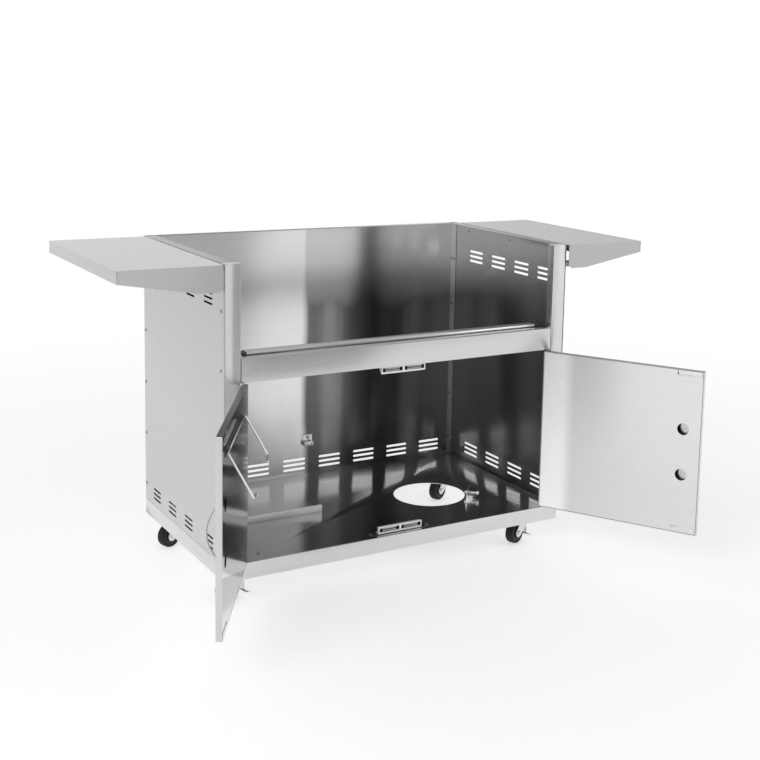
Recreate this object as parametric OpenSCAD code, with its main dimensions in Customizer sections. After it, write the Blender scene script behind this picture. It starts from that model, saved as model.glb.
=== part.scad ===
// Stainless steel cart on four casters: open-top cabinet with two inset
// pin-hinged doors, two fold-down side shelves, louvred panels, magnet
// catches, a floor pan with a round drop-in hole and a wire holder on the
// left door. Z = 0 is the ground, X is centred, the doors face -Y.
// Rest position: both doors open, shelves up, front wheels trailing left.

/* [Cabinet] */
// Width of the cabinet over the side panels
body_w = 1030; // [980:5:1080]
// Depth of the cabinet, front face to back face
body_d = 598; // [570:2:640]
// Height of the base edge above the ground
base_z = 72; // [72:1:72]
// Height of the base pan's outer wall
base_h = 43.4; // [42:0.2:46]
// Height of the cabinet above the base edge
body_h = 807.5; // [790:0.5:840]
// Bottom of the front rail above the base edge
rail_lo = 507.8; // [490:0.2:515]
// Top of the front rail above the base edge
rail_hi = 570.7; // [560:0.1:580]
// Width of each front stile
stile_w = 43.7; // [40:0.1:50]
// Sheet thickness of the panels
sheet = 1.2; // [1:0.1:1.2]
// Web of the caster beams above the base edge
beam_h = 20.5; // [20.5:0.5:22]
// Model offset that puts the origin under the middle of the open cart
front_y = -92.9; // [-300:0.1:0]

/* [Doors] */
// Gap beside each door
door_gap = 2; // [2:0.5:3]
// Gap above and below each door
door_gap_z = 3; // [2.5:0.5:3]
// Door thickness
door_t = 15; // [15:1:16]
// Left door opening at rest
door_left_open = 119.5; // [0:0.5:122]
// Right door opening at rest
door_right_open = 120.5; // [0:0.5:122]
// Pin centre from the hinge edge
pin_a = 5.2; // [5.2:0.1:5.6]
// Pin centre from the outer face
pin_b = 3.7; // [3.6:0.1:3.7]
// Pin radius
pin_r = 2.4; // [2.2:0.1:2.4]
// Handle screw spacing
grip_cc = 128; // [96:1:128]
// Handle reach from the door face
grip_out = 32; // [28:1:40]
// Handle bar radius
grip_r = 4; // [3:0.5:5]
// Handle from the free edge
grip_in = 51; // [45:1:60]

/* [Shelves] */
// Shelf length, from the cabinet outwards
shelf_l = 262.5; // [220:0.5:300]
// Shelf front edge in front of the cabinet
shelf_front = 7.4; // [0:0.2:8]
// Shelf depth
shelf_d = 581; // [560:1:590]
// Depth of the tapered flange at the cabinet
shelf_flange_in = 66.6; // [62:0.2:70]
// Depth of the end flange
shelf_flange_out = 32; // [25:1:40]
// Level part of the flange's lower edge
shelf_knee = 60.8; // [50:0.2:80]
// Gap between shelf and cabinet side
shelf_gap = 4.5; // [4.5:0.5:6]
// Shelf sheet thickness
shelf_t = 1.5; // [1.2:0.1:1.5]

/* [Floor fittings] */
// Radius of the round floor hole
hole_r = 105.5; // [100:0.5:112]
// Hole centre to the right of the middle
hole_x = 229; // [200:1:300]
// Hole centre behind the front face
hole_y = 247; // [240:1:330]
// Direction of the clamp screw, seen from above
clamp_dir = -40; // [-60:1:-20]

/* [Casters] */
// Wheel radius
wheel_r = 32.5; // [30:0.5:32.5]
// Tread width
wheel_w = 24; // [20:1:24]
// Wheel offset from the swivel
trail = 42; // [36:1:42]
// Swivel distance from the cabinet sides
caster_inx = 70; // [60:1:80]
// Front swivels' distance from the front
caster_iny = 70; // [69:1:80]
// Rear swivels' distance from the back
caster_iny_r = 92; // [60:1:100]

/* [Hidden] */
$fn = 48;
hw = body_w / 2;
z0 = base_z;
z1 = z0 + base_h;             // top of the base, flush with the floor
z2 = z0 + rail_lo;            // bottom of the rail
z3 = z0 + rail_hi;            // top of the rail
z4 = z0 + body_h;             // top of the cabinet
zf = z1;                      // floor surface
zb = z0 + beam_h;             // top of the caster beams' web
pan_t = 1.5;
run = 0.05;                   // running clearance on a radius
open_w = body_w - 2 * stile_w;
door_w = (open_w - 3 * door_gap) / 2;
door_h = z2 - z1 - 2 * door_gap_z;
hinge_x = hw - stile_w - door_gap - pin_a;
vent_l = 57;
vent_h = 5.5;
vent_p = 13.5;
vent_z = [z0 + 64.75, z0 + 696.5];
vent_h2 = 7;                  // right and rear panels: taller slots
vent_p2 = 15;
vents_left_lo = [104, 250, 374, 499];
vents_left_hi = [108, 232, 358, 484];
vents_right = [98, 218, 341, 465];
vents_rear = [for (i = [-3:4]) -47 + 120.3 * i];
screw_z = [z0 + 92, z0 + 241, z0 + 390, z0 + 539.4, z0 + 688.6];
shelf_x0 = hw + shelf_gap;
shelf_piv_x = hw + 15;
shelf_piv_z = z4 - shelf_flange_in + 12;
casters = [[-1, 0, 200], [1, 0, 203], [-1, 1, 200], [1, 1, 205]];
function caster_pos(i) = [casters[i][0] * (hw - caster_inx),
  casters[i][1] == 0 ? caster_iny : body_d - caster_iny_r, 0];
steel = [0.77, 0.77, 0.76];
steel_light = [0.82, 0.82, 0.81];
steel_dark = [0.42, 0.42, 0.42];
zinc = [0.80, 0.81, 0.82];
white = [0.92, 0.92, 0.90];
black = [0.08, 0.08, 0.08];

module shift() { translate([0, front_y, 0]) children(); }
module box(x0, x1, y0, y1, za, zb)
  translate([x0, y0, za]) cube([x1 - x0, y1 - y0, zb - za]);
module rod(p, d, r, l) // cylinder from p along axis d = "x", "y" or "z"
  translate(p) rotate(d == "x" ? [0, 90, 0] : d == "y" ? [-90, 0, 0]
    : [0, 0, 0]) cylinder(r = r, h = l);
// horizontal slot with round ends, l long and h high, through a wall
module slot_x(x, y, z, l, h) // through a wall facing X
  translate([x, y, z]) rotate([0, 90, 0]) linear_extrude(8, center = true)
    union() {
      square([h, l - h], center = true);
      for (s = [-1, 1]) translate([0, s * (l - h) / 2])
        circle(d = h, $fn = 24);
    }
module slot_y(x, y, z, l, h) // through a wall facing Y
  translate([x, y, z]) rotate([90, 0, 0]) linear_extrude(8, center = true)
    union() {
      square([l - h, h], center = true);
      for (s = [-1, 1]) translate([s * (l - h) / 2, 0])
        circle(d = h, $fn = 24);
    }

// ---- screws: [x, y, z, axis, sign of the head side] --------------------
side_screws = [for (s = [-1, 1]) for (y = [22, body_d - 10])
  for (z = screw_z) [s * hw, y, z, "x", s]];
sill_screws = [for (s = [-1, 1]) [s * 87, 26, z1 + 1.5, "z", 1]];
rail_screws = [for (s = [-1, 1]) [s * 87, 26, z2 - 1.5, "z", -1]];
stop_screws = [for (x = [-385, -139]) [x, 263, zf + 1.5, "z", 1]];
floor_screws = [for (s = [-1, 1]) [s * 404, 44, zf, "z", 1]];
clip_screws = [[-3.5, body_d - sheet - 1.5, z0 + 158, "y", -1]];
leaf_screws = [for (s = [-1, 1]) for (y = [60, 285, 510])
  [s * (hw + 2), y, z4 - 22, "x", s]];
all_screws = concat(side_screws, sill_screws, rail_screws, stop_screws,
  floor_screws, clip_screws, leaf_screws);
module screw(s, head_r = 4.5, head_h = 2, l = 6, r = 2)
  translate([s[0], s[1], s[2]])
    rotate(s[3] == "x" ? [0, 90 * s[4], 0] : s[3] == "y" ? [-90 * s[4], 0, 0]
      : [s[4] > 0 ? 0 : 180, 0, 0]) {
      difference() {
        cylinder(r = head_r, h = head_h);
        translate([0, 0, head_h - 0.8]) cylinder(r = 1.6, h = 2, $fn = 6);
      }
      translate([0, 0, -l]) cylinder(r = r, h = l + 0.1);
    }
module screw_hole(s, r = 2)
  translate([s[0], s[1], s[2]])
    rotate(s[3] == "x" ? [0, 90, 0] : s[3] == "y" ? [-90, 0, 0] : [0, 0, 0])
      translate([0, 0, -12]) cylinder(r = r, h = 24);
caster_bolt_xy = [for (i = [0:3]) for (sx = [-1, 1]) for (sy = [-1, 1])
  [caster_pos(i)[0] + sx * 24, caster_pos(i)[1] + sy * 24]];

// ---- cabinet -------------------------------------------------------------
module base_pan() color(steel_light) shift() difference() {
  box(-hw, hw, 0, body_d, z0, z1);
  // hollow under the floor
  box(-hw + pan_t, hw - pan_t, pan_t, body_d - pan_t, z0 - 1, z1 - pan_t);
  // drop-in hole
  rod([hole_x, hole_y, z0], "z", hole_r, 60);
  // door pin bores
  for (s = [-1, 1]) rod([s * hinge_x, pin_b, z1 - 5], "z", pin_r + run, 10);
  for (s = concat(sill_screws, stop_screws, floor_screws)) screw_hole(s);
  translate([hole_x, hole_y, zf - 5]) rotate([0, 0, clamp_dir])
    for (s = [-1, 1]) translate([hole_r + 24, s * 14, 0])
      cylinder(r = 2, h = 10);
}
// two channels under the floor that carry the casters
module caster_beams() color(steel_light) shift() difference() {
  for (yc = [caster_iny, body_d - caster_iny_r]) difference() {
    box(-hw + pan_t, hw - pan_t, yc - 37, yc + 37, zb - pan_t, z1 - pan_t);
    box(-hw, hw, yc - 35.5, yc + 35.5, zb, z1);
  }
  for (p = caster_bolt_xy) rod([p[0], p[1], zb - 5], "z", 3, 10);
}

module side_panel(s, lo, hi, l, h, p, zl, zh) // s: -1 left, 1 right
  color(steel) shift() difference() {
    union() {
      // the outer face stops 1 mm above the base, which leaves a fine groove
      box(s < 0 ? -hw : hw - sheet, s < 0 ? -hw + sheet : hw, 0, body_d,
        z1 + 1, z4);
      // bottom and top flanges, turned inwards
      box(s < 0 ? -hw + 0.5 : hw - 14, s < 0 ? -hw + 14 : hw - 0.5, 31,
        body_d - 16, z1, z1 + sheet);
      box(s < 0 ? -hw + 0.5 : hw - 30, s < 0 ? -hw + 30 : hw - 0.5, 31,
        body_d - 24, z4 - sheet, z4);
    }
    for (y = lo) for (k = [0:2]) slot_x(s * hw, y, zl + k * p, l, h);
    for (y = hi) for (k = [0:2]) slot_x(s * hw, y, zh + k * p, l, h);
    for (q = side_screws) screw_hole(q);
    for (q = leaf_screws) screw_hole(q);
  }
module side_panel_left() side_panel(-1, vents_left_lo, vents_left_hi, vent_l,
  vent_h, vent_p, vent_z[0], vent_z[1]);
module side_panel_right() side_panel(1, vents_right, vents_right, 74,
  vent_h2, vent_p2, vent_z[0] + 3, vent_z[1] - 1.5);

module rear_panel() color(steel) shift() difference() {
  union() {
    box(-hw + sheet, hw - sheet, body_d - sheet, body_d, z1, z4);
    for (s = [-1, 1]) // side flanges, turned forwards
      box(s < 0 ? -hw + sheet : hw - 2 * sheet, s < 0 ? -hw + 2 * sheet
        : hw - sheet, body_d - 15, body_d - 0.5, z1, z4);
    box(-hw + 15, hw - 15, body_d - 14, body_d - 0.5, z1, z1 + sheet);
    box(-hw + 31, hw - 31, body_d - 23, body_d - 0.5, z4 - sheet, z4);
  }
  for (x = vents_rear) for (k = [0:2])
    slot_y(x, body_d, vent_z[0] - 4.5 + k * vent_p2, 73, vent_h2);
  for (q = concat(side_screws, clip_screws)) screw_hole(q);
}

module stile() color(steel) shift() difference() { // left one; right mirrors
  union() {
    box(-hw + sheet, -hw + stile_w, 0, sheet, z1, z4);
    box(-hw + sheet, -hw + 2 * sheet, 0.5, 30, z1, z4);
    box(-hw + stile_w - sheet, -hw + stile_w, 0.5, 30, z1, z4);
    box(-hw + sheet, -hw + stile_w, 0.5, 30, z4 - sheet, z4);
    // hem along the inner return
    box(-hw + stile_w - 12, -hw + stile_w - 0.5, 28.8, 30, z1, z4);
  }
  for (q = side_screws) screw_hole(q);
}
module stile_left() stile();
module stile_right() mirror([1, 0, 0]) stile();

module top_rail() color(steel) shift() difference() {
  x = hw - stile_w - 0.4;
  union() {
    box(-x, x, 0, sheet, z2, z3);
    box(-x, x, 0.5, 36, z2, z2 + sheet);
    box(-x, x, 0.5, 30, z3 - sheet, z3);
    box(-x, x, 28.8, 30, z3 - 12, z3 - 0.5);
    for (s = [-1, 1]) // end tabs against the stiles
      box(s < 0 ? -x : x - sheet, s < 0 ? -x + sheet : x, 0.5, 27,
        z2 + 0.5, z3 - 0.5);
  }
  for (s = [-1, 1]) rod([s * hinge_x, pin_b, z2 - 5], "z", pin_r + run, 10);
  for (q = rail_screws) screw_hole(q);
}

// shallow channel behind the rail that carries the load at the front
module support_channel() color(steel_light) shift() {
  x = hw - stile_w - 31;
  box(-x, x, 40, 41.5, z3 - 6, z3 + 6);
  box(-x, x, 41, 70, z3 + 4.5, z3 + 6);
  box(-x, x, 68.5, 70, z3 - 6, z3 + 5);
}
module channel_brackets() color(steel_dark) shift()
  for (s = [-1, 1]) mirror([s > 0 ? 1 : 0, 0, 0]) difference() {
    union() {
      // foot behind the stile's return, arm under the channel
      box(-hw + stile_w, -hw + stile_w + 1.5, 31, 66, z3 - 14, z3 + 10);
      box(-hw + stile_w - 12, -hw + stile_w + 1, 30, 31.5, z3 - 14, z3 + 10);
      box(-hw + stile_w + 1, -hw + stile_w + 38, 42, 68, z3 + 3, z3 + 4.5);
      box(-hw + stile_w + 1, -hw + stile_w + 31, 40, 41.5, z3 - 8, z3 + 3.5);
    }
    rod([-hw + stile_w + 16, 35, z3 - 2.5], "y", 2.6, 12);
  }

module hinge_washers() color(white) shift() for (s = [-1, 1]) difference() {
  rod([s * hinge_x, pin_b, z1], "z", 3.6, 2.7);
  rod([s * hinge_x, pin_b, z1 - 1], "z", pin_r + run, 6);
}

// ---- magnet catches ------------------------------------------------------
catch_w = 134;
catch_y = 17.3;   // front face
catch_d = 17;
catch_h = 19.5;
// bezel with two windows, a box behind it for the magnets, and a foot that
// meets the bracket: foot = 1 above the housing, -1 below it
module catch_housing(za, foot) color(white) shift() difference() {
  union() {
    box(-catch_w / 2, catch_w / 2, catch_y, catch_y + 3, za, za + catch_h);
    box(-catch_w / 2 + 3, catch_w / 2 - 3, catch_y + 2.5, catch_y + 13,
      za + 2.5, za + catch_h - 2.5);
    box(-catch_w / 2, catch_w / 2, catch_y + 2.5, catch_y + catch_d,
      foot > 0 ? za + catch_h - 2 : za, foot > 0 ? za + catch_h : za + 2);
    if (foot > 0) // gussets at the ends
      for (x = [-catch_w / 2, catch_w / 2 - 2]) translate([x, 0, 0])
        rotate([90, 0, 90]) linear_extrude(2) polygon([
          [catch_y + 2, za], [catch_y + 3, za],
          [catch_y + catch_d, za + catch_h - 1],
          [catch_y + 2, za + catch_h - 1]]);
  }
  for (s = [-1, 1]) translate([s * 33.5, catch_y, za + 10.2]) {
    translate([-30, -1, -5.3]) cube([60, 6, 10.6]);
    translate([-22, -1, -4.6]) cube([44, 13, 9.2]); // magnet seat
  }
}
module catch_bracket(zp) color(zinc) shift() difference() {
  box(-95, 95, catch_y - 1.5, 36, zp, zp + 1.5);
  for (q = concat(sill_screws, rail_screws)) screw_hole(q);
}
module catch_bracket_bottom() catch_bracket(z1);
module catch_bracket_top() catch_bracket(z2 - 1.5);
module catch_bottom() catch_housing(z1 + 1.5, -1);
module catch_top() catch_housing(z2 - 1.5 - catch_h, 1);
module catch_magnets() color(steel_dark) shift()
  for (zc = [z1 + 11.7, z2 - 1.5 - catch_h + 10.2]) for (s = [-1, 1])
    translate([s * 33.5 - 21.9, catch_y + 0.8, zc - 4.5])
      cube([43.8, 11, 9]);

// ---- floor fittings ------------------------------------------------------
module stop_rail() color(steel_light) shift() difference() {
  union() {
    box(-405, -119, 255, 256.5, zf, zf + 21);
    box(-405, -119, 256, 271, zf, zf + 1.5);
    box(-405, -119, 256, 262, zf + 19.5, zf + 21);
  }
  for (q = stop_screws) screw_hole(q);
  for (q = stop_screws) rod([q[0], q[1], zf + 10], "z", 5, 20);
}
module clamp_at() shift() translate([hole_x, hole_y, zf])
  rotate([0, 0, clamp_dir]) children();
module clamp_bracket() color(zinc) clamp_at() difference() {
  union() {
    translate([hole_r + 8, -22, 0]) cube([26, 44, 1.5]);
    translate([hole_r + 8, -22, 0.5]) cube([2, 44, 27]);
    translate([hole_r + 9.5, 0, 15]) rotate([0, 90, 0])
      cylinder(r = 7, h = 5.5);
    for (s = [-1, 1]) translate([hole_r + 9, s * 21 - 1, 0.5])
      cube([18, 2, 11]);
  }
  translate([hole_r, 0, 15]) rotate([0, 90, 0]) cylinder(r = 3.05, h = 30);
  for (s = [-1, 1]) translate([hole_r + 24, s * 14, -1])
    cylinder(r = 2, h = 10);
}
module clamp_screw() color(zinc) clamp_at() {
  translate([hole_r + 2, 0, 15]) rotate([0, 90, 0]) cylinder(r = 3, h = 40);
  translate([hole_r + 1, 0, 15]) rotate([0, 90, 0]) cylinder(r = 5, h = 3);
  translate([hole_r + 36, 0, 15]) rotate([0, 90, 0]) cylinder(r = 6, h = 7);
  translate([hole_r + 38, -13, 13.8]) cube([4.5, 26, 2.4]);
}
module hose_clip() color(zinc) shift() difference() {
  union() {
    y = body_d - sheet;
    box(-19, 12, y - 1.5, y, z0 + 134, z0 + 166);
    box(-19, 12, y - 14, y - 1, z0 + 134, z0 + 135.5);
    box(-19, 12, y - 14, y - 12.5, z0 + 134.5, z0 + 148);
  }
  for (q = clip_screws) screw_hole(q);
}
module panel_screws() color(zinc) {
  shift() for (q = all_screws) screw(q);
  clamp_at() for (s = [-1, 1]) translate([hole_r + 24, s * 14, 1.5]) {
    cylinder(r = 4, h = 2.2);
    translate([0, 0, -6]) cylinder(r = 2, h = 6.5);
  }
}

// ---- side shelves: modelled on the left, mirrored for the right ----------
module shelf_bracket(s) color(steel_light) shift()
  mirror([s > 0 ? 1 : 0, 0, 0]) difference() {
    union() {
      box(-hw - 2, -hw, 4, 566, z4 - 70, z4 - 2.5);
      for (y = [6, 559]) pivot_ear(y);
    }
    for (y = [6, 559])
      rod([-shelf_piv_x, y - 2, shelf_piv_z], "y", pin_r + run, 8);
    for (q = leaf_screws) screw_hole(q);
  }
module pivot_ear(y) { // ear round the pivot, square to the side
  rod([-shelf_piv_x, y, shelf_piv_z], "y", 9, 3);
  box(-shelf_piv_x, -hw - 1, y, y + 3, shelf_piv_z - 9, shelf_piv_z + 9);
}
module shelf_side(y) // tapered flange as a plate at y
  translate([0, y + shelf_t, 0]) rotate([90, 0, 0]) linear_extrude(shelf_t)
    polygon([[-shelf_x0, z4 - 0.5], [-shelf_x0 - shelf_l, z4 - 0.5],
      [-shelf_x0 - shelf_l, z4 - shelf_flange_out],
      [-shelf_x0 - shelf_knee, z4 - shelf_flange_in],
      [-shelf_x0 - 9, z4 - shelf_flange_in],
      [-shelf_x0, z4 - shelf_flange_in + 14.6]]);
module shelf(s) color(steel_light) shift() mirror([s > 0 ? 1 : 0, 0, 0]) {
  ya = -shelf_front;
  yb = ya + shelf_d;
  xa = -shelf_x0 - shelf_l;
  box(xa, -shelf_x0, ya, yb, z4 - shelf_t, z4);
  box(xa, xa + shelf_t, ya, yb, z4 - shelf_flange_out, z4 - 0.5);
  box(-shelf_x0 - shelf_t, -shelf_x0, ya, yb, z4 - 18, z4 - 0.5);
  shelf_side(ya);
  shelf_side(yb - shelf_t);
  // stiffening return along the end flange
  box(xa + 0.5, xa + 14, ya + 1, yb - 1, z4 - shelf_flange_out,
    z4 - shelf_flange_out + shelf_t);
}
module shelf_pins(s) color(zinc) shift() mirror([s > 0 ? 1 : 0, 0, 0]) {
  ya = -shelf_front + shelf_t;
  yb = -shelf_front + shelf_d - shelf_t;
  rod([-shelf_piv_x, ya, shelf_piv_z], "y", pin_r, 13 - ya);
  rod([-shelf_piv_x, ya, shelf_piv_z], "y", 5.5, 5.7 - ya);
  rod([-shelf_piv_x, 9.3, shelf_piv_z], "y", 5.5, 3);
  rod([-shelf_piv_x, 555.5, shelf_piv_z], "y", pin_r, yb - 555.5);
  rod([-shelf_piv_x, 562.3, shelf_piv_z], "y", 5.5, yb - 562.3);
  rod([-shelf_piv_x, 555.7, shelf_piv_z], "y", 5.5, 3);
}
module shelf_bracket_left() shelf_bracket(-1);
module shelf_bracket_right() shelf_bracket(1);
module shelf_left() shelf(-1);
module shelf_right() shelf(1);
module shelf_pins_left() shelf_pins(-1);
module shelf_pins_right() shelf_pins(1);

// ---- doors: drawn closed with the hinge edge at x = 0, the outer face at
// y = 0 and the bottom at z = 0, then swung about the pin -----------------
module hang(s) shift() mirror([s > 0 ? 1 : 0, 0, 0])
  translate([-hinge_x, pin_b, z1 + door_gap_z])
    rotate([0, 0, s < 0 ? -door_left_open : -door_right_open])
      translate([-pin_a, -pin_b, 0]) children();
grip_x = door_w - grip_in;
grip_z = [door_h / 2 - grip_cc / 2, door_h / 2 + grip_cc / 2];
module door_skin(s) color(steel) hang(s) difference() {
  box(0, door_w, 0, door_t, 0, door_h);
  box(sheet, door_w - sheet, sheet, door_t + 1, sheet, door_h - sheet);
  for (z = [-5, door_h - 5]) rod([pin_a, pin_b, z], "z", pin_r, 10);
  for (z = grip_z) rod([grip_x, -5, z], "y", 2, 10);
}
module door_liner(s) color(steel_light) hang(s) difference() {
  box(sheet, door_w - sheet, 9, door_t, sheet, door_h - sheet);
  box(sheet + 1, door_w - sheet - 1, 8, door_t - 1, sheet + 1,
    door_h - sheet - 1);
  for (z = grip_z) rod([grip_x, 5, z], "y", 16.5, 15);
  for (q = strike_rivets()) rod([q[0], 5, q[1]], "y", 1.6, 15);
  if (s < 0) for (q = holder_rivets()) rod([q[0], 5, q[1]], "y", 1.6, 15);
}
module door_handle(s) color(zinc) hang(s) {
  c = grip_cc / 2;
  sag = grip_out - grip_r;
  rr = (c * c + sag * sag) / (2 * sag);
  difference() {
    union() {
      difference() {
        translate([grip_x, -sag + rr, door_h / 2]) rotate([0, 90, 0])
          rotate_extrude($fn = 96) translate([rr, 0])
            circle(r = grip_r, $fn = 24);
        box(grip_x - 20, grip_x + 20, 0, 2 * rr + 20, -200, door_h + 200);
      }
      for (z = grip_z) rod([grip_x, -7, z], "y", 6, 7);
    }
    for (z = grip_z) rod([grip_x, -5.5, z], "y", 2, 8);
  }
}
module door_screws(s) color(zinc) hang(s) for (z = grip_z) {
  rod([grip_x, -5.5, z], "y", 2, 7);
  difference() {
    rod([grip_x, sheet, z], "y", 4, 2.6);
    rod([grip_x, sheet + 1.6, z], "y", 1.5, 2);
  }
}
module door_pins(s) color(zinc) hang(s) for (t = [0, 1])
  translate([0, 0, t * door_h]) mirror([0, 0, t]) {
    rod([pin_a, pin_b, -7], "z", pin_r, 12);
    box(sheet, 20, sheet, 8.8, sheet, 13.2);
  }
function strike_rivets() = [for (z = [11, door_h - 11])
  for (x = [door_w - 68, door_w - 37, door_w - 9]) [x, z]];
module door_strikes(s) color(steel_light) hang(s) {
  for (z = [11, door_h - 11])
    box(door_w - 74, door_w - 3, door_t, door_t + 0.8, z - 7, z + 7);
  for (q = strike_rivets()) {
    rod([q[0], door_t - 3, q[1]], "y", 1.6, 3.4);
    rod([q[0], door_t + 0.4, q[1]], "y", 2.2, 0.8);
  }
}
module door_left_skin() door_skin(-1);
module door_left_liner() door_liner(-1);
module door_left_handle() door_handle(-1);
module door_left_screws() door_screws(-1);
module door_left_pins() door_pins(-1);
module door_left_strikes() door_strikes(-1);
module door_right_skin() door_skin(1);
module door_right_liner() door_liner(1);
module door_right_handle() door_handle(1);
module door_right_screws() door_screws(1);
module door_right_pins() door_pins(1);
module door_right_strikes() door_strikes(1);

// ---- wire holder on the left door's inner face ----------------------------
wire_r = 2.5;
knee_r = 2.8;                        // wire thickened at its bends
bail_x = [116, 437];                 // the two arms, from the hinge edge
bail_z = z0 + 462.5 - (z1 + door_gap_z); // pivot height on the door
bail_y = door_t + 4.5;               // pivot off the inner face
bail_dy = 60;                        // reach of the arms at rest
bail_dz = -106;                      // drop of the arms at rest
bail_len = sqrt(bail_dy * bail_dy + bail_dz * bail_dz);
bail_ang = atan2(bail_dz, bail_dy);
function holder_rivets() = [for (x = [180, 276, 388]) [x, bail_z - 11]];
module holder_clips() color(zinc) hang(-1) { // strap with two rolled eyes
  difference() {
    union() {
      box(140, 428, door_t, door_t + 1.2, bail_z - 16, bail_z + 5);
      for (x = [156, 412]) {
        rod([x - 8, bail_y, bail_z], "x", 4.2, 16);
        box(x - 8, x + 8, door_t + 1, bail_y, bail_z - 3.5, bail_z + 3.5);
      }
    }
    for (x = [156, 412])
      rod([x - 10, bail_y, bail_z], "x", wire_r + run, 20);
  }
  for (q = holder_rivets()) {
    rod([q[0], door_t - 3, q[1]], "y", 1.6, 4);
    rod([q[0], door_t + 1, q[1]], "y", 2.8, 1);
  }
}
module holder_bail() color(zinc) hang(-1) union() {
  rod([bail_x[0], bail_y, bail_z], "x", wire_r, bail_x[1] - bail_x[0]);
  for (i = [0, 1]) {
    translate([bail_x[i], bail_y, bail_z]) sphere(r = knee_r, $fn = 32);
    translate([bail_x[i], bail_y, bail_z])
      rotate([bail_ang, 0, 0]) rotate([-90, 0, 0])
        cylinder(r = wire_r, h = bail_len);
    translate([bail_x[i], bail_y + bail_dy, bail_z + bail_dz]) {
      sphere(r = knee_r, $fn = 32);
      rotate([0, i == 0 ? 90 : -90, 0]) cylinder(r = wire_r, h = 38);
      translate([i == 0 ? 38 : -38, 0, 0]) sphere(r = 3.6, $fn = 32);
    }
  }
}

// ---- casters: swivel on the z axis, wheel centre at x = trail -------------
cp_t = 2.5;
ct = zb - pan_t;                    // underside of the beams
module at_caster(i) shift() translate(caster_pos(i)) children();
module swung(i) at_caster(i) rotate([0, 0, casters[i][2]]) children();
module caster_plate(i) color(zinc) at_caster(i) difference() {
  union() {
    translate([-34, -34, ct - cp_t]) cube([68, 68, cp_t]);
    translate([0, 0, ct - cp_t - 3]) cylinder(r = 23, h = 3.5);
    translate([0, 0, 70.5]) cylinder(r = 5, h = ct - 71);
    translate([0, 0, 68]) cylinder(r = 8, h = 3);
  }
  for (sx = [-1, 1]) for (sy = [-1, 1])
    translate([sx * 24, sy * 24, ct - cp_t - 1]) cylinder(r = 3, h = 5);
}
module caster_bolts() color(zinc) shift() for (p = caster_bolt_xy) {
  rod([p[0], p[1], ct - cp_t - 9], "z", 3, cp_t + pan_t + 9);
  rod([p[0], p[1], zb], "z", 5.5, 3);
  translate([p[0], p[1], ct - cp_t - 5]) cylinder(r = 5.8, h = 5, $fn = 6);
}
leg_in = 13.6;
leg_t = 2.4;
fork_top = ct - cp_t - 3 - 0.4;     // just under the plate's raceway
module caster_fork(i, brake) color(zinc) swung(i) difference() {
  union() {
    translate([0, 0, 78]) cylinder(r = 22, h = fork_top - 78);
    translate([0, 0, 71.6]) cylinder(r = 17, h = 7);
    translate([-16, -leg_in - leg_t, 71.6])
      cube([40, 2 * (leg_in + leg_t), 2.6]);
    for (s = [-1, 1]) translate([0, s > 0 ? leg_in + leg_t : -leg_in, 0])
      rotate([90, 0, 0]) linear_extrude(leg_t) union() {
        polygon([[-16, 74.2], [24, 74.2], [trail + 12.5, 38],
          [trail, 22], [trail - 8.5, 22], [-5, 50]]);
        translate([trail, wheel_r]) circle(r = 13.5);
      }
  }
  translate([0, 0, 70]) cylinder(r = 5 + run, h = 20);
  // room for the kingpin's riveted head
  translate([0, 0, 60]) cylinder(r = 8.4, h = 11.5);
  translate([trail, 0, wheel_r]) rotate([90, 0, 0])
    cylinder(r = 4, h = 50, center = true);
  if (brake) translate([6, 0, 56]) rotate([90, 0, 0])
    cylinder(r = 2.5 + run, h = 50, center = true);
}
module caster_axle(i) color(zinc) swung(i)
  translate([trail, 0, wheel_r]) rotate([90, 0, 0]) {
    cylinder(r = 4, h = 2 * (leg_in + leg_t) + 2, center = true);
    for (s = [-1, 1]) translate([0, 0, s * (leg_in + leg_t + 1.8)])
      cylinder(r = 6.4, h = 3.6, center = true, $fn = s > 0 ? 48 : 6);
  }
module caster_wheel(i) color(black) swung(i)
  translate([trail, 0, wheel_r]) rotate([90, 0, 0])
    rotate_extrude($fn = 72) difference() {
      polygon([[4 + run, -13.2], [10, -13.2], [10, -9], [20, -9],
        [21, -wheel_w / 2], [wheel_r - 2, -wheel_w / 2],
        [wheel_r, -wheel_w / 2 + 2.5], [wheel_r, wheel_w / 2 - 2.5],
        [wheel_r - 2, wheel_w / 2], [21, wheel_w / 2], [20, 9], [10, 9],
        [10, 13.2], [4 + run, 13.2]]);
    }
// lever that presses its shoe on the tread, with a cross bar as the pedal
module brake_lever(i) color(zinc) swung(i) {
  translate([6, 0, 56]) rotate([90, 0, 0])
    cylinder(r = 2.5, h = 2 * (leg_in + leg_t), center = true);
  translate([6, 0, 56]) rotate([90, 0, 0]) linear_extrude(25, center = true)
    union() {
      polygon([[-4, -2], [-1, -6], [3.9, -9.2], [6.2, -7.9], [5.2, -2],
        [3.5, 3], [0, 4.8], [-3.5, 3.2]]);
      polygon([[-4.2, 1], [-10.8, -15], [-13.4, -39], [-10.4, -39.4],
        [-8, -16.6], [-1.5, -4]]);
    }
  translate([6, 0, 56]) rotate([90, 0, 0]) linear_extrude(54, center = true)
    polygon([[-19, -40.4], [-18.6, -42.6], [-8, -40.2], [-8.4, -38]]);
}
module caster_plate_fl() caster_plate(0);
module caster_plate_fr() caster_plate(1);
module caster_plate_rl() caster_plate(2);
module caster_plate_rr() caster_plate(3);
module caster_fork_fl() caster_fork(0, true);
module caster_fork_fr() caster_fork(1, true);
module caster_fork_rl() caster_fork(2, false);
module caster_fork_rr() caster_fork(3, false);
module caster_wheel_fl() caster_wheel(0);
module caster_wheel_fr() caster_wheel(1);
module caster_wheel_rl() caster_wheel(2);
module caster_wheel_rr() caster_wheel(3);
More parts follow.
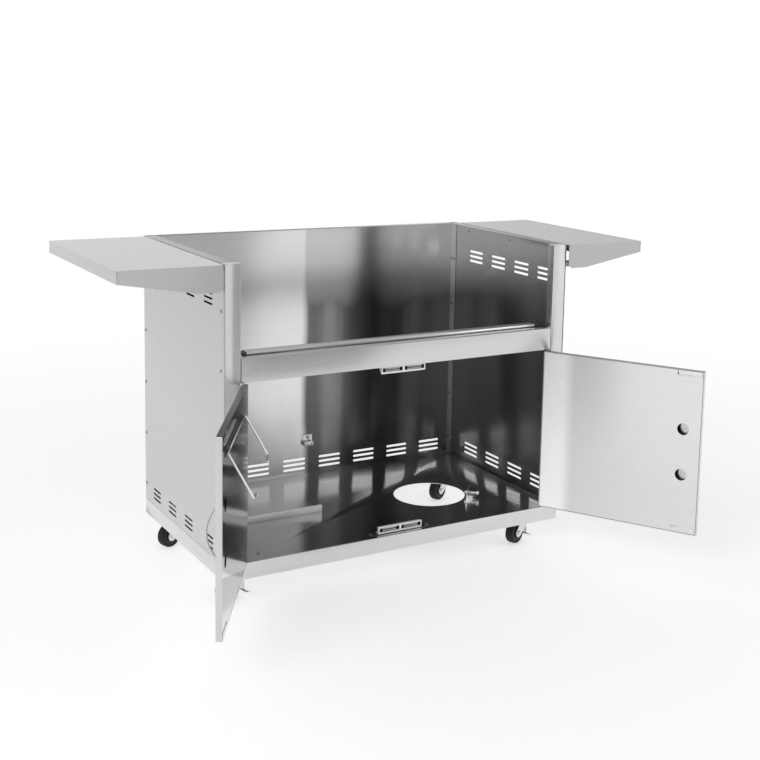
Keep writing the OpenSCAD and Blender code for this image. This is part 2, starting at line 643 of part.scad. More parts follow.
module caster_axle_fl() caster_axle(0);
module caster_axle_fr() caster_axle(1);
module caster_axle_rl() caster_axle(2);
module caster_axle_rr() caster_axle(3);
module brake_lever_fl() brake_lever(0);
module brake_lever_fr() brake_lever(1);

base_pan();
side_panel_left();
side_panel_right();
rear_panel();
stile_left();
stile_right();
top_rail();
support_channel();
channel_brackets();
hinge_washers();
catch_bracket_top();
catch_bracket_bottom();
catch_top();
catch_bottom();
catch_magnets();
stop_rail();
clamp_bracket();
clamp_screw();
hose_clip();
panel_screws();
shelf_bracket_left();
shelf_bracket_right();
shelf_left();
shelf_right();
shelf_pins_left();
shelf_pins_right();
door_left_skin();
door_left_liner();
door_left_handle();
door_left_screws();
door_left_pins();
door_left_strikes();
door_right_skin();
door_right_liner();
door_right_handle();
door_right_screws();
door_right_pins();
door_right_strikes();
holder_clips();
holder_bail();
caster_plate_fl();
caster_plate_fr();
caster_plate_rl();
caster_plate_rr();
caster_fork_fl();
caster_fork_fr();
caster_fork_rl();
caster_fork_rr();
caster_wheel_fl();
caster_wheel_fr();
caster_wheel_rl();
caster_wheel_rr();
caster_axle_fl();
caster_axle_fr();
caster_axle_rl();
caster_axle_rr();
brake_lever_fl();
brake_lever_fr();
caster_bolts();
caster_beams();
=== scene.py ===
import math
import bpy
import bmesh
from mathutils import Matrix, Vector


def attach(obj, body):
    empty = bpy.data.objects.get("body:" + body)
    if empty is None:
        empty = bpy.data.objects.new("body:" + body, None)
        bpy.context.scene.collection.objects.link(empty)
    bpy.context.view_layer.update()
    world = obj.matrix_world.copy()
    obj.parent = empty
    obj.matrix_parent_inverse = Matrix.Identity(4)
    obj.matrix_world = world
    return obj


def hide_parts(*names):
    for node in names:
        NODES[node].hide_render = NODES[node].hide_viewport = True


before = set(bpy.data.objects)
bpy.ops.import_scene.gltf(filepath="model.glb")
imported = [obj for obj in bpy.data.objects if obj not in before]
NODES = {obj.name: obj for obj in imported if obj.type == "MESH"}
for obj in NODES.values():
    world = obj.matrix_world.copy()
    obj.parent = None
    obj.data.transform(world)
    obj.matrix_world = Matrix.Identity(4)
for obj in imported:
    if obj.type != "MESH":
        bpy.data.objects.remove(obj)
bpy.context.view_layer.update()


# ---- the cart's own numbers, in millimetres, front face at y = 0 -----------
FY = -92.9
HW, DEPTH = 515.0, 598.0
Z0, Z1, Z2, Z3, Z4 = 72.0, 115.4, 579.8, 642.7, 879.5
ZF = Z1
STILE = 43.7
T = 1.2
HINGE_X = 464.1
DOOR_W, DOOR_H, DOOR_T = 468.3, 458.4, 15.0
OPEN = {-1: 119.5, 1: 120.5}
PIN_A, PIN_B = 5.2, 3.7
GRIP_X = 417.3
GRIP_Z = (165.2, 293.2)
BZ = 416.1                # wire holder's pivot height above the door's bottom
CASTERS = {"fl": (-445, 70, 200), "fr": (445, 70, 203), "rl": (-445, 506, 200), "rr": (445, 506, 205)}
CATCH_Z = (Z1 + 11.7, Z2 - 10.8)   # middle of the catches' windows
WR, TRAIL = 32.5, 42.0

MM = Matrix.Scale(0.001, 4)
CART = MM @ Matrix.Translation((0, FY, 0))


def door_frame(s):
    m = Matrix.Translation((0, FY, 0))
    if s > 0:
        m = m @ Matrix.Diagonal((-1, 1, 1, 1))
    m = m @ Matrix.Translation((-HINGE_X, PIN_B, Z1 + 3.0))
    m = m @ Matrix.Rotation(math.radians(-OPEN[s]), 4, "Z")
    return MM @ m @ Matrix.Translation((-PIN_A, -PIN_B, 0))


def caster_frame(n):
    x, y, a = CASTERS[n]
    return MM @ Matrix.Translation((x, y + FY, 0)) @ Matrix.Rotation(math.radians(a), 4, "Z")


# ---- materials ---------------------------------------------------------------
def tree(name):
    m = bpy.data.materials.new(name)
    m.use_nodes = True
    nt = m.node_tree
    nt.nodes.clear()
    out = nt.nodes.new("ShaderNodeOutputMaterial")
    bs = nt.nodes.new("ShaderNodeBsdfPrincipled")
    nt.links.new(bs.outputs["BSDF"], out.inputs["Surface"])
    return m, nt, bs


def noise(nt, vec, scale, detail=2.0, rough=0.5):
    n = nt.nodes.new("ShaderNodeTexNoise")
    n.inputs["Scale"].default_value = scale
    n.inputs["Detail"].default_value = detail
    n.inputs["Roughness"].default_value = rough
    nt.links.new(vec, n.inputs["Vector"])
    return n.outputs["Fac"]


def mapping(nt, vec, scale=(1, 1, 1), rot_z=0.0, loc=(0, 0, 0)):
    m = nt.nodes.new("ShaderNodeMapping")
    m.inputs["Scale"].default_value = scale
    m.inputs["Rotation"].default_value = (0, 0, rot_z)
    m.inputs["Location"].default_value = loc
    nt.links.new(vec, m.inputs["Vector"])
    return m.outputs["Vector"]


def math_node(nt, op, a, b=None, c=None, clamp=False):
    n = nt.nodes.new("ShaderNodeMath")
    n.operation = op
    n.use_clamp = clamp
    for i, v in enumerate((a, b, c)):
        if v is None:
            continue
        if isinstance(v, (int, float)):
            n.inputs[i].default_value = v
        else:
            nt.links.new(v, n.inputs[i])
    return n.outputs[0]


def span(nt, v, a, b, lo, hi, smooth=False):
    n = nt.nodes.new("ShaderNodeMapRange")
    n.interpolation_type = "SMOOTHSTEP" if smooth else "LINEAR"
    for key, val in (("From Min", a), ("From Max", b), ("To Min", lo), ("To Max", hi)):
        n.inputs[key].default_value = val
    nt.links.new(v, n.inputs["Value"])
    return n.outputs["Result"]


def blend_colour(nt, fac, a, b):
    n = nt.nodes.new("ShaderNodeMix")
    n.data_type = "RGBA"
    for key, v in (("A", a), ("B", b)):
        s = next(i for i in n.inputs if i.name == key and i.type == "RGBA")
        if isinstance(v, tuple):
            s.default_value = (*v, 1.0)
        else:
            nt.links.new(v, s)
    nt.links.new(fac, n.inputs[0])
    return next(o for o in n.outputs if o.type == "RGBA")


def steel(name, base, rough, grain="x", rot=0.0, aniso=0.55, streak=0.5, cloud=0.6, bump=0.012,
          tint=(1.0, 0.995, 0.985), painted_light=None, spread=0.08, along=(0.2, 0.3, 1.0)):
    """Brushed sheet: grain runs along one axis of the piece; rot turns it with an open door.
    along is the way the highlights stretch, square to the grain."""
    m, nt, bs = tree(name)
    tc = nt.nodes.new("ShaderNodeTexCoord").outputs["Object"]
    if rot:
        tc = mapping(nt, tc, rot_z=rot)
    k = {"x": 0, "y": 1, "z": 2}[grain]
    fine = [950.0] * 3
    fine[k] = 9.0
    mid = [120.0] * 3
    mid[k] = 1.6
    f1 = noise(nt, mapping(nt, tc, tuple(fine)), 1.0, 2.0)
    f2 = noise(nt, mapping(nt, tc, tuple(mid)), 1.0, 3.0, 0.6)
    f3 = noise(nt, tc, 3.4, 3.0, 0.55)
    f4 = noise(nt, tc, 38.0, 2.0, 0.6)
    v = math_node(nt, "MULTIPLY_ADD", f2, streak, 0.5 - streak / 2)
    v = math_node(nt, "MULTIPLY_ADD", f3, cloud, math_node(nt, "SUBTRACT", v, cloud / 2))
    v = math_node(nt, "MULTIPLY_ADD", f1, 0.2, math_node(nt, "SUBTRACT", v, 0.1), clamp=True)
    lo = tuple(base * (1 - spread) * c for c in tint)
    hi = tuple(min(1.0, base * (1 + spread)) * c for c in tint)
    col = blend_colour(nt, v, lo, hi)
    # painted light: the given function paints shade, highlights and reflections into the colour
    if painted_light:
        col = painted_light(nt, tc, col)
    nt.links.new(col, bs.inputs["Base Color"])
    bs.inputs["Metallic"].default_value = 1.0
    r = math_node(nt, "MULTIPLY_ADD", f1, 0.06, rough - 0.03)
    r = math_node(nt, "MULTIPLY_ADD", f4, 0.04, math_node(nt, "SUBTRACT", r, 0.02))
    nt.links.new(r, bs.inputs["Roughness"])
    bs.inputs["Anisotropic"].default_value = aniso
    if aniso:
        cx = nt.nodes.new("ShaderNodeCombineXYZ")
        for i in range(3):
            cx.inputs[i].default_value = along[i]
        vt = nt.nodes.new("ShaderNodeVectorTransform")
        vt.vector_type, vt.convert_from, vt.convert_to = "VECTOR", "OBJECT", "WORLD"
        nt.links.new(cx.outputs[0], vt.inputs[0])
        nt.links.new(vt.outputs[0], bs.inputs["Tangent"])
    bp = nt.nodes.new("ShaderNodeBump")
    bp.inputs["Strength"].default_value = bump
    bp.inputs["Distance"].default_value = 0.001
    h = math_node(nt, "MULTIPLY_ADD", f2, 0.5, f1)
    nt.links.new(h, bp.inputs["Height"])
    nt.links.new(bp.outputs["Normal"], bs.inputs["Normal"])
    return m


def plain(name, base, rough, metallic=0.0, scale=60.0, spread=0.12, bump=0.05, coat=0.0, dust=None, spec=0.5):
    """Plastic, rubber, plated or cast surface with mottling and a fine grain."""
    m, nt, bs = tree(name)
    tc = nt.nodes.new("ShaderNodeTexCoord").outputs["Object"]
    f1 = noise(nt, tc, scale, 4.0, 0.6)
    f2 = noise(nt, tc, scale * 14, 2.0, 0.5)
    col = blend_colour(nt, f1, tuple(c * (1 - spread) for c in base), tuple(min(1, c * (1 + spread)) for c in base))
    if dust:
        d = span(nt, noise(nt, tc, scale * 0.5, 5.0, 0.7), 0.5, 0.72, 0.0, 0.55)
        col = blend_colour(nt, d, col, dust)
    nt.links.new(col, bs.inputs["Base Color"])
    bs.inputs["Metallic"].default_value = metallic
    bs.inputs["Coat Weight"].default_value = coat
    bs.inputs["Specular IOR Level"].default_value = spec
    nt.links.new(span(nt, f1, 0.3, 0.7, rough * 0.85, min(1, rough * 1.2)), bs.inputs["Roughness"])
    bp = nt.nodes.new("ShaderNodeBump")
    bp.inputs["Strength"].default_value = bump
    bp.inputs["Distance"].default_value = 0.0006
    nt.links.new(f2, bp.inputs["Height"])
    nt.links.new(bp.outputs["Normal"], bs.inputs["Normal"])
    return m


def rear_inside_painted_reflection_and_shade(nt, tc, col):
    """Inside of the back, painted light and shade: a painted reflection light at the left, painted shade darker right
    of it, painted light again near the open top.
    """
    sep = nt.nodes.new("ShaderNodeSeparateXYZ")
    nt.links.new(tc, sep.inputs[0])
    wob = span(nt, noise(nt, mapping(nt, tc, (3, 3, 2.2)), 1.0, 3.0), 0.3, 0.7, -0.012, 0.012)
    x = math_node(nt, "ADD", sep.outputs["X"], wob)
    left = span(nt, x, -0.022, 0.012, 1.0, 0.0, True)
    high = span(nt, sep.outputs["Z"], 0.58, 0.78, 0.0, 0.75, True)
    keep = math_node(nt, "MAXIMUM", left, high)
    near = span(nt, x, 0.0, 0.42, 0.10, 0.0, True)
    # painted reflection: soft upright streaks
    painted_reflection_streaks = span(nt, noise(nt, mapping(nt, tc, (11.0, 11.0, 0.5)), 1.0, 2.0), 0.4, 0.7, 0.0, 0.16, True)
    keep = math_node(nt, "MAXIMUM", keep, math_node(nt, "ADD", near, painted_reflection_streaks))
    # painted shade: near-black wherever the mask is low
    col = blend_colour(nt, keep, (0.05, 0.05, 0.05), col)
    # painted shade: the left part below about 0.78 m goes near-black
    painted_shade_corner = math_node(nt, "MULTIPLY", span(nt, x, -0.30, -0.24, 1.0, 0.0, True),
                       span(nt, sep.outputs["Z"], 0.772, 0.786, 1.0, 0.0, True))
    return blend_colour(nt, painted_shade_corner, col, (0.012, 0.012, 0.012))


def side_inside_painted_shade(nt, tc, col):
    """Inside of the sides: painted shade, darker low in the cabinet, with soft upright painted reflection streaks."""
    sep = nt.nodes.new("ShaderNodeSeparateXYZ")
    nt.links.new(tc, sep.inputs[0])
    high = span(nt, sep.outputs["Z"], 0.58, 0.8, 0.0, 0.8, True)
    painted_reflection_streaks = span(nt, noise(nt, mapping(nt, tc, (8.0, 9.0, 1.1)), 1.0, 2.0), 0.42, 0.74, 0.10, 0.5, True)
    keep = math_node(nt, "MAXIMUM", high, painted_reflection_streaks)
    return blend_colour(nt, keep, (0.23, 0.23, 0.23), col)


def floor_inside_painted_shade_and_light(nt, tc, col):
    """Floor: painted shadow along the left wall, and painted light making it lighter towards the right."""
    sep = nt.nodes.new("ShaderNodeSeparateXYZ")
    nt.links.new(tc, sep.inputs[0])
    # painted light: lighter towards the right
    col = blend_colour(nt, span(nt, sep.outputs["X"], -0.12, 0.12, 0.0, 0.85, True), col, (0.95, 0.95, 0.94))
    # painted shadow: near-black strip along the left wall
    return blend_colour(nt, span(nt, sep.outputs["X"], -0.485, -0.455, 1.0, 0.0, True), col, (0.015, 0.015, 0.015))


def liner_right_painted_highlight(nt, tc, col):
    """Right door's inner sheet: painted highlight, a lighter band beside the hinge."""
    sep = nt.nodes.new("ShaderNodeSeparateXYZ")
    nt.links.new(tc, sep.inputs[0])
    return blend_colour(nt, span(nt, sep.outputs["X"], -0.410, -0.365, 0.0, 1.0, True), col, (1.0, 1.0, 0.99))


def liner_left_painted_shade(nt, tc, col):
    """Left door's inner sheet: painted shade high up, and a slanting band of painted reflected shade near its foot."""
    sep = nt.nodes.new("ShaderNodeSeparateXYZ")
    nt.links.new(tc, sep.inputs[0])
    high = span(nt, sep.outputs["Z"], 0.37, 0.44, 0.0, 0.9, True)
    # painted shade: darker high up
    col = blend_colour(nt, high, col, (0.16, 0.16, 0.16))
    d = math_node(nt, "SUBTRACT", sep.outputs["X"], 0.3061)
    t = math_node(nt, "MULTIPLY_ADD", d, -0.35, sep.outputs["Z"])
    # painted reflection of the shade under the cart: the slanting band
    painted_shade_band = math_node(nt, "MULTIPLY", span(nt, t, -0.01, 0.05, 0.0, 1.0, True), span(nt, t, 0.098, 0.104, 0.9, 0.0, True))
    return blend_colour(nt, painted_shade_band, col, (0.2, 0.2, 0.2))


def outside_painted_shade(nt, tc, col):
    """Outside of the sides: painted shade, slightly darker towards the top."""
    sep = nt.nodes.new("ShaderNodeSeparateXYZ")
    nt.links.new(tc, sep.inputs[0])
    return blend_colour(nt, span(nt, sep.outputs["Z"], 0.35, 0.85, 0.0, 0.9, True), col, (0.47, 0.47, 0.465))


A_L, A_R = math.radians(OPEN[-1]), math.radians(OPEN[1])
MAT = {
    # painted shade on the outside sides: darker towards the top
    "side": steel("steel_side", 0.57, 0.27, "y", aniso=0.7, cloud=0.3, streak=0.45, painted_light=outside_painted_shade),
    "front": steel("steel_front", 0.65, 0.22, "x", aniso=0.8, cloud=0.4, streak=0.5),
    "shelf": steel("steel_shelf", 0.50, 0.26, "y", aniso=0.7, cloud=0.4, streak=0.5, along=(1.0, 0.0, 0.35)),
    # painted shade: the right shelf is a slightly darker copy of the shelf steel
    "shelf_r": steel("steel_shelf_right_painted_shade", 0.48, 0.26, "y", aniso=0.7, cloud=0.4, streak=0.5, along=(1.0, 0.0, 0.35)),
    "pan": steel("steel_pan", 0.68, 0.23, "x", aniso=0.75, cloud=0.4, streak=0.5),
    # painted reflection and painted shade on the inside of the back
    "rear_in": steel("steel_rear_inside", 0.78, 0.20, "x", aniso=0.8, painted_light=rear_inside_painted_reflection_and_shade, streak=0.5),
    # painted shade and painted reflection streaks on the insides of the sides
    "side_in": steel("steel_side_inside", 0.66, 0.20, "y", aniso=0.8, painted_light=side_inside_painted_shade, streak=0.5),
    # painted shadow and painted light on the cabinet floor
    "floor_in": steel("steel_floor_inside", 0.46, 0.17, "x", aniso=0.5, painted_light=floor_inside_painted_shade_and_light, along=(0.0, 1.0, 0.3)),
    "door_l": steel("steel_door_left", 0.62, 0.25, "x", rot=A_L, aniso=0.7),
    "door_r": steel("steel_door_right", 0.62, 0.25, "x", rot=-A_R, aniso=0.7),
    # painted light: the left liner is a lighter copy of the liner steel, with painted shade on it
    "liner_l": steel("steel_liner_left", 0.78, 0.12, "x", rot=A_L, aniso=0.5, painted_light=liner_left_painted_shade),
    # painted highlight band on the right liner
    "liner_r": steel("steel_liner_right", 0.73, 0.26, "x", rot=-A_R, aniso=0.75, painted_light=liner_right_painted_highlight, cloud=0.25,
                     streak=0.3),
    # painted shade: darker copies of the door steel for the folded top edges
    "fold": steel("steel_fold_painted_shade", 0.14, 0.30, "x", aniso=0.5),
    "fold_l": steel("steel_fold_painted_half_shade", 0.30, 0.30, "x", aniso=0.5),
    "bar": plain("satin_bar", (0.86, 0.86, 0.85), 0.42, 1.0, 60.0, 0.06, 0.03),
    "screw": plain("screw_steel", (0.36, 0.36, 0.37), 0.30, 1.0, 90.0, 0.12, 0.05),
    # painted shade: near-black for slot walls, the seam groove and the catch windows
    "slot": plain("slot_shade", (0.012, 0.012, 0.012), 0.7, 0.0, 80.0, 0.2, 0.05, spec=0.2),
    "zinc": plain("zinc_plate", (0.72, 0.73, 0.74), 0.26, 1.0, 90.0, 0.12, 0.06),
    "wire": plain("plated_wire", (0.78, 0.78, 0.79), 0.20, 1.0, 120.0, 0.08, 0.03),
    "handle": plain("handle_steel", (0.60, 0.60, 0.60), 0.24, 1.0, 90.0, 0.08, 0.04),
    "white": plain("white_plastic", (0.86, 0.86, 0.84), 0.36, 0.0, 50.0, 0.03, 0.04),
    "magnet": plain("ferrite", (0.06, 0.06, 0.062), 0.5, 0.3, 80.0, 0.2, 0.08),
    "plate": plain("magnet_plate", (0.45, 0.45, 0.45), 0.32, 1.0, 120.0, 0.1, 0.05),
    "dark": plain("dark_bracket", (0.10, 0.10, 0.10), 0.42, 0.9, 70.0, 0.2, 0.06),
    "tread": plain("rubber_tread", (0.008, 0.008, 0.008), 0.66, 0.0, 140.0, 0.25, 0.12, dust=(0.02, 0.02, 0.019),
                   spec=0.35),
    "hub": plain("wheel_core", (0.024, 0.024, 0.025), 0.42, 0.0, 90.0, 0.2, 0.06),
}


# ---- mesh building ---------------------------------------------------------------
def smooth_by_angle(me, deg=28.0):
    me.polygons.foreach_set("use_smooth", [True] * len(me.polygons))
    me.set_sharp_from_angle(angle=math.radians(deg))


def finish_piece(bm, name, mats, body, nodes, matrix=None, angle=28.0):
    if matrix is not None:
        bm.transform(matrix)
        if matrix.determinant() < 0:
            bmesh.ops.reverse_faces(bm, faces=bm.faces[:])
    me = bpy.data.meshes.new(name)
    bm.to_mesh(me)
    bm.free()
    smooth_by_angle(me, angle)
    for m in mats if isinstance(mats, (list, tuple)) else [mats]:
        me.materials.append(MAT[m])
    o = bpy.data.objects.new(name, me)
    bpy.context.scene.collection.objects.link(o)
    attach(o, body)
    if nodes:
        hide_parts(*([nodes] if isinstance(nodes, str) else nodes))
    return o


def welded(node):
    """The node's mesh, welded, with its flat areas cleaned up, in cart millimetres."""
    bm = bmesh.new()
    bm.from_mesh(NODES[node].data)
    bm.transform(CART.inverted())
    bmesh.ops.remove_doubles(bm, verts=bm.verts[:], dist=0.002)
    bmesh.ops.dissolve_limit(bm, angle_limit=math.radians(0.4), use_dissolve_boundaries=False,
                             verts=bm.verts[:], edges=bm.edges[:])
    return bm


def bevel_sharp(bm, width, deg=40.0, segments=2, pick=None):
    edges = []
    for e in bm.edges:
        if len(e.link_faces) != 2 or e.calc_length() < width * 2.2:
            continue
        if e.calc_face_angle(0.0) < math.radians(deg):
            continue
        if pick and not pick(e):
            continue
        edges.append(e)
    if edges:
        bmesh.ops.bevel(bm, geom=edges, offset=width, offset_type="OFFSET", segments=segments, profile=0.5,
                        affect="EDGES", clamp_overlap=True, loop_slide=False)


def refine(node, mats, body, width=0.3, choose=None, name=None, big=None, segments=2):
    """A copy of a CAD node with softened edges; choose(centre, normal) gives each face's material."""
    bm = welded(node)
    if big:
        bevel_sharp(bm, big[0], pick=big[1], segments=3)
    if width:
        bevel_sharp(bm, width, segments=segments)
    if choose:
        bm.normal_update()
        for f in bm.faces:
            f.material_index = choose(f.calc_center_median(), f.normal)
    return finish_piece(bm, name or node + "_finish", mats, body, node, CART)


def rounded(pts, r, n=4, closed=False):
    """Round the inner corners of a polyline of 2-D points."""
    out = []
    m = len(pts)
    for i, p in enumerate(pts):
        if not closed and i in (0, m - 1):
            out.append(Vector(p))
            continue
        a, b, c = Vector(pts[i - 1]), Vector(p), Vector(pts[(i + 1) % m])
        u, v = (a - b).normalized(), (c - b).normalized()
        ang = u.angle(v)
        d = min(r / math.tan(ang / 2), (a - b).length * 0.49, (c - b).length * 0.49)
        rr = d * math.tan(ang / 2)
        centre = b + (u + v).normalized() * (rr / math.sin(ang / 2))
        s, e = b + u * d - centre, b + v * d - centre
        for k in range(n + 1):
            t = k / n
            w = s.slerp(e, t) if s.length > 0 else s
            out.append(centre + w)
    return out


def thicken(bm, t):
    """Turn an open sheet into a solid one: t inwards, against its normals."""
    me = bpy.data.meshes.new("sheet")
    bm.to_mesh(me)
    bm.free()
    o = bpy.data.objects.new("sheet", me)
    bpy.context.scene.collection.objects.link(o)
    mod = o.modifiers.new("s", "SOLIDIFY")
    mod.thickness = t
    mod.offset = -1.0
    mod.use_even_offset = True
    dg = bpy.context.evaluated_depsgraph_get()
    out = bmesh.new()
    out.from_object(o, dg)
    bpy.data.objects.remove(o)
    return out


def folded(profile, axis, a, b, t, r=1.6, flip=False):
    """Sheet bent to a profile and run along an axis from a to b. The profile is its outer line."""
    pts = rounded(profile, r)
    bm = bmesh.new()

    def at(p, w):
        return {"x": (w, p[0], p[1]), "y": (p[0], w, p[1]), "z": (p[0], p[1], w)}[axis]

    rows = [[bm.verts.new(at(p, w)) for p in pts] for w in (a, b)]
    for i in range(len(pts) - 1):
        q = [rows[0][i], rows[0][i + 1], rows[1][i + 1], rows[1][i]]
        bm.faces.new(q[::-1] if flip else q)
    bm.normal_update()
    return thicken(bm, t)


def join_into(bm, other, matrix=None, index=None):
    me = bpy.data.meshes.new("part")
    if index is not None:
        for f in other.faces:
            f.material_index = index
    if matrix is not None:
        other.transform(matrix)
        if matrix.determinant() < 0:
            bmesh.ops.reverse_faces(other, faces=other.faces[:])
    other.to_mesh(me)
    other.free()
    bm.from_mesh(me)
    bpy.data.meshes.remove(me)


def block(x0, x1, y0, y1, z0, z1, bevel=0.3, segments=2):
    bm = bmesh.new()
    bmesh.ops.create_cube(bm, size=1.0, matrix=Matrix.Translation(((x0 + x1) / 2, (y0 + y1) / 2, (z0 + z1) / 2))
                          @ Matrix.Diagonal((x1 - x0, y1 - y0, z1 - z0, 1)))
    if bevel:
        bmesh.ops.bevel(bm, geom=bm.edges[:], offset=bevel, segments=segments, profile=0.5, affect="EDGES",
                        clamp_overlap=True)
    return bm


def lathe(profile, matrix=None, n=48):
    """Turn (radius, height) points about Z; points on the axis close it."""
    bm = bmesh.new()
    rings = []
    for r, h in profile:
        if r < 1e-6:
            rings.append([bm.verts.new((0, 0, h))])
        else:
            rings.append([bm.verts.new((r * math.cos(2 * math.pi * i / n), r * math.sin(2 * math.pi * i / n), h))
                          for i in range(n)])
    for p, q in zip(rings, rings[1:]):
        if len(p) == 1 and len(q) == 1:
            continue
        for i in range(n):
            j = (i + 1) % n
            if len(p) == 1:
                bm.faces.new((p[0], q[j], q[i]))
            elif len(q) == 1:
                bm.faces.new((p[i], p[j], q[0]))
            else:
                bm.faces.new((p[i], p[j], q[j], q[i]))
    bmesh.ops.recalc_face_normals(bm, faces=bm.faces[:])
    if matrix is not None:
        bm.transform(matrix)
    return bm


def tube(points, radius, n=14, caps=True):
    """A round bar along a list of points, with a steady frame."""
    pts = [Vector(p) for p in points]
    bm = bmesh.new()
    up = Vector((0, 0, 1))
    t0 = (pts[1] - pts[0]).normalized()
    if abs(t0.dot(up)) > 0.9:
        up = Vector((1, 0, 0))
    side = t0.cross(up).normalized()
    rings = []
    for i, p in enumerate(pts):
        if i == 0:
            t = t0
        elif i == len(pts) - 1:
            t = (pts[i] - pts[i - 1]).normalized()
        else:
            t = ((pts[i + 1] - pts[i]).normalized() + (pts[i] - pts[i - 1]).normalized()).normalized()
        side = (side - t * side.dot(t)).normalized()
        up2 = t.cross(side)
        r = radius[i] if isinstance(radius, (list, tuple)) else radius
        rings.append([bm.verts.new(p + side * (r * math.cos(2 * math.pi * k / n)) + up2 * (r * math.sin(2 * math.pi * k / n)))
                      for k in range(n)])
    for a, b in zip(rings, rings[1:]):
        for k in range(n):
            j = (k + 1) % n
            bm.faces.new((a[k], a[j], b[j], b[k]))
    if caps:
        bm.faces.new(rings[0][::-1])
        bm.faces.new(rings[-1])
    bmesh.ops.recalc_face_normals(bm, faces=bm.faces[:])
    return bm


def bend3(points, r, n=6):
    """A path in space with every corner rounded to radius r."""
    out = [Vector(points[0])]
    for a, b, c in zip(points, points[1:], points[2:]):
        a, b, c = Vector(a), Vector(b), Vector(c)
        u, v = (a - b).normalized(), (c - b).normalized()
        ang = u.angle(v)
        if ang > math.radians(178):
            out.append(b)
            continue
        d = min(r / math.tan(ang / 2), (a - b).length * 0.45, (c - b).length * 0.45)
        rr = d * math.tan(ang / 2)
        centre = b + (u + v).normalized() * (rr / math.sin(ang / 2))
        s, e = b + u * d - centre, b + v * d - centre
        for k in range(n + 1):
            out.append(centre + s.slerp(e, k / n))
    out.append(Vector(points[-1]))
    return out


# ---- cabinet -----------------------------------------------------------------
def outer_edge(e):
    """Edges on the outside of the base pan's wall."""
    ok = 0
    for v in e.verts:
        on = (abs(abs(v.co.x) - HW) < 0.05) or abs(v.co.y) < 0.05 or abs(v.co.y - DEPTH) < 0.05
        ok += on and v.co.z > Z0 - 0.1
    return ok == 2 and e.calc_length() > 20


def pan_face(c, n):
    inside = abs(c.x) < HW - 1.3 and 1.3 < c.y < DEPTH - 1.3
    return 1 if inside and n.z > 0.5 and c.z > ZF - 0.3 else 0


def side_face(c, n):
    if c.z < Z1 + 1.05 and abs(c.x) > HW - 1.5:  # painted shade: the groove above the base takes the near-black slot colour
        return 2
    # painted shade: the vent slots' cut walls take the near-black slot colour
    if abs(c.x) > HW - T - 0.05 and abs(n.x) < 0.5 and 5 < c.y < DEPTH - 5 and Z1 + 5 < c.z < Z4 - 5:
        return 2
    return 1 if abs(c.x) < HW - T + 0.05 and n.x * c.x < 0.3 * abs(c.x) and c.z < Z4 - 2 else 0


def rear_face(c, n):
    return 1 if n.y < -0.3 and c.y < DEPTH - T + 0.1 and c.z < Z4 - 2 else 0


def catch_face(c, n):
    """Painted shade: the insides of a catch's windows take the near-black slot colour."""
    for z in CATCH_Z:
        if 17.9 < c.y < 29.6 and abs(abs(c.x) - 33.5) < 30.3 and abs(c.z - z) < 5.6:
            return 1
    return 0


refine("base_pan", ["pan", "floor_in"], "cart", width=0.25, choose=pan_face, big=(1.2, outer_edge))
for n in ("left", "right"):
    refine("side_panel_" + n, ["side", "side_in", "slot"], "cart", width=0.3, choose=side_face)
refine("rear_panel", ["front", "rear_in"], "cart", width=0.3, choose=rear_face)

for s, n in ((-1, "left"), (1, "right")):
    prof = [(-HW + T, 30), (-HW + T, 0), (-HW + STILE, 0), (-HW + STILE, 30), (-HW + STILE - 12, 30)]
    bm = folded(prof, "z", Z1 + 0.2, Z4, T, 1.8)
    join_into(bm, block(-HW + T + 0.4, -HW + STILE - 0.4, 1.4, 29, Z4 - T, Z4 - 0.05))
    if s > 0:
        bm.transform(Matrix.Diagonal((-1, 1, 1, 1)))
        bmesh.ops.reverse_faces(bm, faces=bm.faces[:])
    finish_piece(bm, "stile_%s_sheet" % n, "front", "cart", "stile_" + n, CART)

x = HW - STILE - 0.9
bm = folded([(36, Z2), (0, Z2), (0, Z3), (30, Z3), (30, Z3 - 12)], "x", -x, x, T, 1.8, flip=True)
for s in (-1, 1):
    xa, xb = sorted((s * x, s * (x - T)))
    join_into(bm, block(xa, xb, 1.4, 28, Z2 + 1.4, Z3 - 1.4))
finish_piece(bm, "top_rail_sheet", "front", "cart", "top_rail", CART)

refine("support_channel", "pan", "cart", width=0.4)
refine("channel_brackets", "dark", "cart", width=0.3)
refine("stop_rail", "bar", "cart", width=0.3)
refine("clamp_bracket", "zinc", "cart", width=0.3)
refine("clamp_screw", "zinc", "clamp", width=0.5)
refine("hose_clip", "zinc", "cart", width=0.3)
refine("hinge_washers", "white", "cart", width=0.4)
for n in ("top", "bottom"):
    refine("catch_bracket_" + n, "dark", "cart", width=0.3)
    refine("catch_" + n, ["white", "slot"], "cart", width=0.5, segments=3, choose=catch_face)
for n in ("left", "right"):
    refine("shelf_bracket_" + n, "shelf", "cart", width=0.3)
    refine("shelf_pins_" + n, "zinc", n + "_shelf", width=0.4)

# magnets: a dark core between two bright plates in each window
bm = bmesh.new()
for zc in CATCH_Z:
    for s in (-1, 1):
        xc = s * 33.5
        join_into(bm, block(xc - 21.4, xc + 21.4, 19.3, 28.9, zc - 1.2, zc + 1.2, 0.3), index=0)
        for k in (-1, 1):
            join_into(bm, block(xc - 21.8, xc + 21.8, 18.2, 29.0, min(zc + k * 1.3, zc + k * 4.4),
                                max(zc + k * 1.3, zc + k * 4.4), 0.35), index=1)
finish_piece(bm, "catch_magnet_cores", ["magnet", "plate"], "cart", "catch_magnets", CART)


